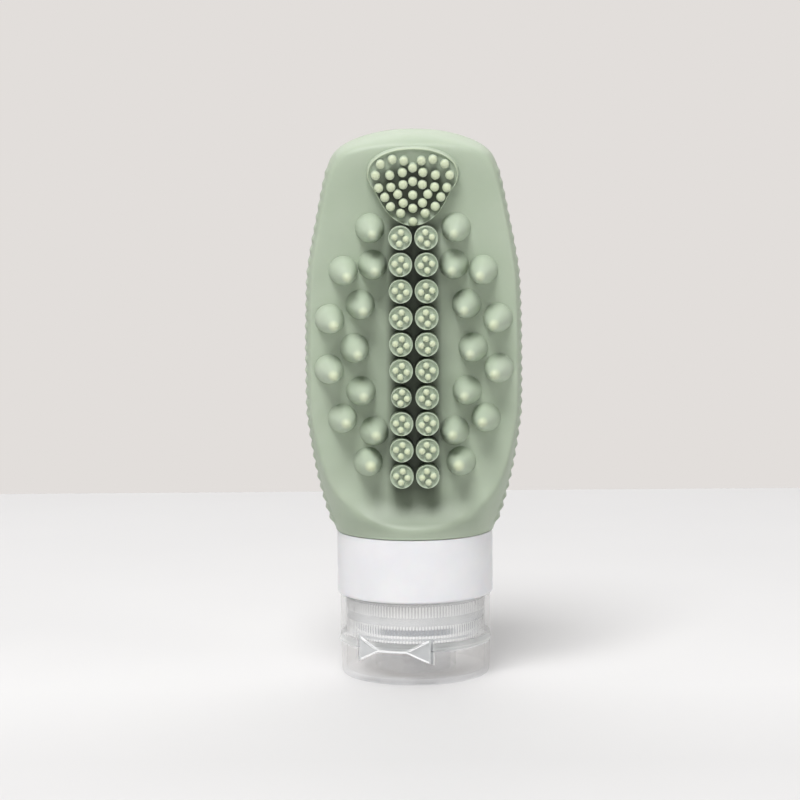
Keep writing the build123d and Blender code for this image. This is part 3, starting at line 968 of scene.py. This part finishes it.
def pocket_tool(side):
    """Wedge outside the pockets' floor, from the strap's tip to past its outer edge."""
    places = [
        hinge_along * side * along + hinge_out * tool_foot + Vector((0, 0, seam_level + up))
        for along, up in ((pocket_tip, 0), (pocket_edge, pocket_rise), (pocket_edge, -pocket_rise))
    ]
    wedge = filled_outline("wedge", places)
    outwards = hinge_out * tool_depth * MM
    bpy.ops.mesh.extrude_region_move(TRANSFORM_OT_translate={"value": outwards})
    leave_edit()
    finish_mesh(wedge)
    cut(wedge, round_tool("floor", pocket_floor, 0, 20, vertices=cap_steps))
    return wedge


def share_out(piece, finishes, number_of):
    """Gives a piece its finishes, and picks one for each face that still has the first.

    The third, a painted highlight, is for the pockets' outer edges, and the fourth, painted
    shade, for their floors.
    """
    for finish in finishes:
        if finish.name not in piece.data.materials:
            piece.data.materials.append(finish)
    for face in piece.data.polygons:
        if face.material_index == 0:
            radius, level = face.center.xy.length / MM, face.center.z / MM
            along = abs(face.center.dot(hinge_along)) / MM
            near_seam = abs(level - seam_level) < pocket_rise + 0.035
            at_hinge = face.center.dot(hinge_out) > 0 and near_seam
            if at_hinge and along < pocket_edge + 0.05 and abs(radius - pocket_floor + 0.02) < 0.06:
                face.material_index = 3
            elif at_hinge and abs(along - pocket_edge) < 0.02 and pocket_floor < radius < 20.3:
                face.material_index = 2
            else:
                face.material_index = number_of(radius, level)


print("hinge faces", tuple(round(v, 3) for v in hinge_out))

# %% [markdown]
# ## The cap base
# One moulding: a plain outer wall with a small bead at the seam, a deck with the nozzle
# rim and the valve's pocket, and an inner skirt that carries the thread. The skirt has two
# tiers of fine upright ribs, which show through the wall. The whole profile is spun, and
# every second face of the tiers is pulled out.

# %% Turn the cap base
cap_outline = [
    (6.4, 9.1), (7.2, 9.1), (7.2, 6.55), (7.35, 6.4), (8.85, 6.4), (9.0, 6.55), (9.0, 9.1),
    (19.0, 9.1), (20.05, 9.1), (20.2, 9.2), (20.25, 9.4), (20.25, 9.65), (20.16, 9.82),
    (20.02, 9.9), (20.0, 10.1), (20.0, 11.15), (20.0, 15.5), (20.0, 21.35), (19.93, 21.53),
    (19.75, 21.6), (18.85, 21.6), (18.72, 21.5), (18.7, 21.3), (18.7, 11.2), (18.62, 11.0),
    (18.45, 10.95), (18.05, 10.95), (18.05, 15.4), (18.05, 17.7), (18.05, 20.6),
    (18.05, 20.8), (17.95, 20.9), (17.25, 20.9), (17.15, 20.8), (17.15, 10.6), (9.4, 10.6),
    (9.4, 13.85), (9.25, 14.0), (8.55, 14.0), (8.4, 13.85), (8.4, 10.6), (6.4, 10.6),
    (6.4, 9.1),
]
skirt_radius = 18.05
rib_rise = 0.3
rib_tiers = ((10.95, 15.4), (17.7, 20.6))
cap_base = turned("cap_base_cloudy", cap_outline, cap_steps, upright=True)


def is_rib(middle):
    """Whether a face is on the skirt, in a tier, and one of every second column."""
    radius = middle.xy.length / MM
    turn = np.arctan2(middle.y, middle.x) / (2 * pi) * cap_steps
    in_tier = any(low < middle.z / MM < high for low, high in rib_tiers)
    return abs(radius - skirt_radius) < 0.05 and in_tier and int(np.floor(turn)) % 2 == 0


cap_finishes = (cap_cloudy, inside_clear, rib_highlight_white, pocket_floor_shade, skirt_cloudy, deck_cloudy)
for finish in cap_finishes:
    cap_base.data.materials.append(finish)
select_where(cap_base, "FACE", is_rib)
bpy.ops.mesh.extrude_region_shrink_fatten(TRANSFORM_OT_shrink_fatten={"value": rib_rise * MM})
# The ribs take the near-white finish, a painted highlight.
cap_base.active_material_index = 2
bpy.ops.object.material_slot_assign()
bpy.ops.mesh.select_mode(type="VERT")
leave_edit()
rib_faces = sum(face.material_index == 2 for face in cap_base.data.polygons)
print("ribs", rib_faces)

# %% Cut the hinge pockets and the thumb scoop into the cap base
thumb_radius, thumb_centre, thumb_low, thumb_high = 9.0, -hinge_out * 28.3, 7.1, 10.7
for side in (-1, 1):
    cut(cap_base, pocket_tool(side))
cut(cap_base, round_tool("thumb_scoop", thumb_radius, thumb_low, thumb_high, thumb_centre))
keep_corners(cap_base, 30)


def cap_finish_number(radius, level):
    """Wall and deck's edge are cloudier than the inside, but for the skirt."""
    if radius > 18.6:
        return 5 if radius > 19.3 and level < 11.1 else 0
    return 4 if abs(radius - skirt_radius) < 0.05 else 1


share_out(cap_base, cap_finishes, cap_finish_number)
dress(cap_base, "cap_base", None, "cap")
cap_base.visible_shadow = False

# %% [markdown]
# ## The lid
# A shallow cup with a rounded lower edge, a ring that seals round the nozzle rim and a boss
# that presses on the valve. The thumb lip opposite the hinge is a slice of a smaller
# cylinder, joined to the wall.

# %% Turn the lid, add its lip and cut its pockets
lid_outline = [
    (0, 0), (12, 0), (18.5, 0), (18.96, 0.09), (19.35, 0.35), (19.62, 0.74), (19.72, 1.2),
    (19.8, 4.5), (19.9, 8.62), (19.85, 8.75), (19.72, 8.8), (18.75, 8.8), (18.62, 8.72),
    (18.6, 8.5), (18.43, 1.95), (18.3, 1.6), (18.0, 1.42), (17.6, 1.4), (10.8, 1.4), (10.8, 7.65),
    (10.65, 7.8), (9.45, 7.8), (9.3, 7.65), (9.3, 1.4), (3.5, 1.4), (3.5, 8.15), (3.35, 8.3),
    (0, 8.3),
]
lip_radius, lip_centre, lip_low, lip_high = 10.0, -hinge_out * 11.1, 7.2, 8.78
lip_inner_radius = 19.4
lid_cup = turned("lid_cloudy", lid_outline, cap_steps, upright=True)
lip = round_tool("lip", lip_radius, lip_low, lip_high, lip_centre, vertices=128)
cut(lip, round_tool("lip_inside", lip_inner_radius, 6, 10, vertices=cap_steps))
cut(lid_cup, lip, "UNION")
for side in (-1, 1):
    cut(lid_cup, pocket_tool(side))
keep_corners(lid_cup, 30)


def lid_finish_number(radius, level):
    """Wall and end face are cloudy, ring and boss painted grey as shade, the rest clear."""
    if radius > 18.35 or level < 0.05:
        return 0
    return 4 if radius < 11 else 1


share_out(
    lid_cup, (lid_cloudy, inside_clear, rib_highlight_white, pocket_floor_shade, ring_shade_grey), lid_finish_number
)
dress(lid_cup, "lid", None, "lid")
lid_cup.visible_shadow = False

# %% [markdown]
# ## The snap hinge
# Two triangular straps and the film between them join cap and lid. Each strap is a grid, so
# that it has rows to bend at, wrapped round the cap and thickened. All but its outermost
# squares lie deeper, which leaves a raised white edge: strained polypropylene turns white.

# %% Straps and film
strap_rows, strap_columns = 14, 8
strap_length, strap_end, strap_radius = 6.1, 9.85, 19.95
edge_width, edge_height, edge_slant = 0.42, 0.12, 1.12
tip_half_height, half_height_gain = 0.128, 3.072
film_radius, film_length, film_half_height = 20.0, 7.7, 0.26


def wrapped_strip(name, columns, rows, place_of):
    """Grid laid on the cap's wall, from each point's share along the seam and upwards."""
    bpy.ops.mesh.primitive_grid_add(x_subdivisions=columns, y_subdivisions=rows, size=1)
    strip = bpy.context.object
    strip.name = name
    for vertex in strip.data.vertices:
        along, up, radius = place_of(vertex.co.x + 0.5, 2 * vertex.co.y)
        out = sqrt(radius**2 - along**2)
        vertex.co = (hinge_along * along + hinge_out * out + Vector((0, 0, seam_level + up))) * MM
    return strip


def thicken(strip, thickness):
    """Gives a strip a wall, and the second finish where it lies deeper and at its wide end."""
    finish_mesh(strip)
    for finish in (hinge_white, hinge_cloudy):
        strip.data.materials.append(finish)
    if sum(face.normal.dot(hinge_out) for face in strip.data.polygons) < 0:
        edit_all(strip)
        bpy.ops.mesh.flip_normals()
        leave_edit()
    deep = (strap_radius - edge_height / 2) * MM
    wide_end = (strap_end - edge_width) * MM
    for face in strip.data.polygons:
        reached = max(strip.data.vertices[number].co.xy.length for number in face.vertices)
        if reached < deep or abs(face.center.dot(hinge_along)) > wide_end:
            face.material_index = 1
    solid = strip.modifiers.new("wall", "SOLIDIFY")
    solid.thickness = thickness * MM
    solid.offset = -1
    bpy.ops.object.modifier_apply(modifier=solid.name)
    keep_corners(strip, 40)


hinge_pieces = []
for side, node_name in ((-1, "hinge_strap_left"), (1, "hinge_strap_right")):

    def strap_place(share, up, side=side):
        """Place on a strap, whose outermost rows and columns are its raised edge."""
        inner_share = (share * strap_columns - 1) / (strap_columns - 2)
        passed = edge_width + inner_share * (strap_length - 2 * edge_width)
        passed = min(max(passed, 0), strap_length)
        half_height = tip_half_height + half_height_gain * passed / strap_length
        on_edge = abs(up) > 0.99 or passed in (0, strap_length)
        if abs(up) < 0.99:
            inner_height = max(1 - edge_slant * edge_width / half_height, 0.15)
            up *= strap_rows / (strap_rows - 2) * inner_height
        along = strap_end - strap_length + passed
        return side * along, half_height * up, strap_radius - (0 if on_edge else edge_height)

    strap = wrapped_strip(node_name + "_cloudy", strap_columns, strap_rows, strap_place)
    thicken(strap, 0.4)
    hinge_pieces.append((strap, node_name, 3.25, -3.25))


def film_place(share, up):
    """Place on the narrow film between the straps."""
    return film_length * (share - 0.5), film_half_height * up, film_radius


film = wrapped_strip("hinge_film_white", 20, 6, film_place)
thicken(film, 0.45)
hinge_pieces.append((film, "hinge_film", 0.15, -0.15))
for piece, node_name, start, end in hinge_pieces:
    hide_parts(node_name)
    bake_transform(piece)
    print(piece.name, "faces", len(piece.data.polygons))

# %% [markdown]
# ## Valve and gasket
# The slit valve is a flanged silicone cup in the nozzle, and the gasket a foam ring
# under the neck's mouth. Two thin blades cut the valve's crossed slits.

# %% Turn the valve and the gasket
valve_outline = [
    (0, 8.6), (5.5, 8.6), (5.85, 8.7), (6.0, 9.0), (6.0, 10.6), (8.15, 10.6), (8.3, 10.75),
    (8.3, 11.65), (8.15, 11.8), (5.25, 11.8), (5.1, 11.65), (5.1, 9.75), (4.85, 9.5), (0, 9.5),
]
slit_length, slit_width = 7.0, 0.25
petals_middle = (0, 0, 9.05 * MM)
valve = turned("slit_valve", valve_outline, 96, upright=True)
for blade_size in ((slit_length, slit_width, 2), (slit_width, slit_length, 2)):
    bpy.ops.mesh.primitive_cube_add(size=MM, location=petals_middle, scale=blade_size)
    blade = bpy.context.object
    bpy.ops.object.transform_apply()
    cut(valve, blade)
keep_corners(valve, 30)
dress(valve, "drip_valve", valve_milky, "cap")

gasket_outline = [
    (12.0, 10.8), (12.15, 10.65), (16.7, 10.65), (16.85, 10.8), (16.85, 11.7), (16.7, 11.85),
    (12.15, 11.85), (12.0, 11.7), (12.0, 10.8),
]
gasket = turned("foam_gasket", gasket_outline, 128, upright=True)
keep_corners(gasket, 50)
dress(gasket, "neck_gasket", gasket_pale, "gasket")

# %% [markdown]
# ## The table and the light
# The plain white table ends a third of a metre behind the bottle. It is painted a little
# greyer towards the camera and lighter beyond: painted shade and painted light that even out
# how the lamps fall on it. Beyond the table the camera sees the world's pale wall colour. A
# wide ceiling lamp lights the table and the crown, a soft lamp above and in front makes the
# nubs' shadows fall down the face, and weak ones fill from the front, the left and the right.

# %% Table, lamps and background
table_reach = 1.6
table_back = 0.332
table_gap = 0.00005
bpy.ops.mesh.primitive_plane_add(size=1)
table = bpy.context.object
table.name = "table"
corners = [(x, y) for y in (-table_reach, table_back) for x in (-table_reach, table_reach)]
for vertex, (x, y) in zip(table.data.vertices, corners):
    vertex.co = (x, y, -table_gap)
table_white, shader, node = new_finish("white_table")
place, _, inwards, _ = object_place(node)
# Greyer near the camera, whiter far off: painted shade and painted light on the table.
near_grey = mottled(node, place, 6, 3, screen_colour(214, 213, 213), screen_colour(211, 210, 210))
far_white = mottled(node, place, 6, 3, screen_colour(224, 223, 223), screen_colour(221, 220, 220))
far_share = ramp_of(node, inwards, -0.1, -0.02, 0, 1)
feed(shader, {
    "Base Color": blend_colours(node, far_share, near_grey, far_white),
    "Roughness": 0.6,
})
table.data.materials.append(table_white)


def add_lamp(name, place, aim, width, watts):
    """Square area lamp that faces a point."""
    bpy.ops.object.light_add(type="AREA", location=place)
    lamp = bpy.context.object
    lamp.name = name
    lamp.data.size = width
    lamp.data.energy = watts
    lamp.rotation_euler = (Vector(aim) - Vector(place)).to_track_quat("-Z", "Y").to_euler()


bottle_middle = (0, 0, 0.08)
add_lamp("ceiling", (0, 1.0, 1.5), (0, 0.4, 0), 2.2, 18.5)
add_lamp("softbox_above", (-0.2, -0.68, 1.22), bottle_middle, 0.6, 16.8)
add_lamp("softbox_front", (0.1, -1.3, 0.35), bottle_middle, 0.8, 1.5)
add_lamp("fill_left", (-1.0, -0.35, 0.4), bottle_middle, 0.7, 1.5)
add_lamp("fill_right", (0.9, -0.5, 0.3), (0, 0, 0.03), 0.5, 1.8)

world = bpy.data.worlds.new("pale_room")
bpy.context.scene.world = world
world.use_nodes = True
tree = world.node_tree
node = node_adder(tree)
ambient = tree.nodes["Background"]
feed(ambient, {"Color": (1, 1, 1, 1), "Strength": 0.07})
wall_seen = node("Background", {"Color": screen_colour(226, 222, 219)})
rays = node("LightPath").outputs
seen = rays["Is Camera Ray"]
for kind in ("Is Glossy Ray", "Is Transmission Ray"):
    seen = node("Math", {0: seen, 1: rays[kind]}, operation="MAXIMUM").outputs[0]
choice = node("MixShader", {0: seen, 1: ambient.outputs[0], 2: wall_seen.outputs[0]})
feed(tree.nodes["World Output"], {"Surface": choice.outputs[0]})
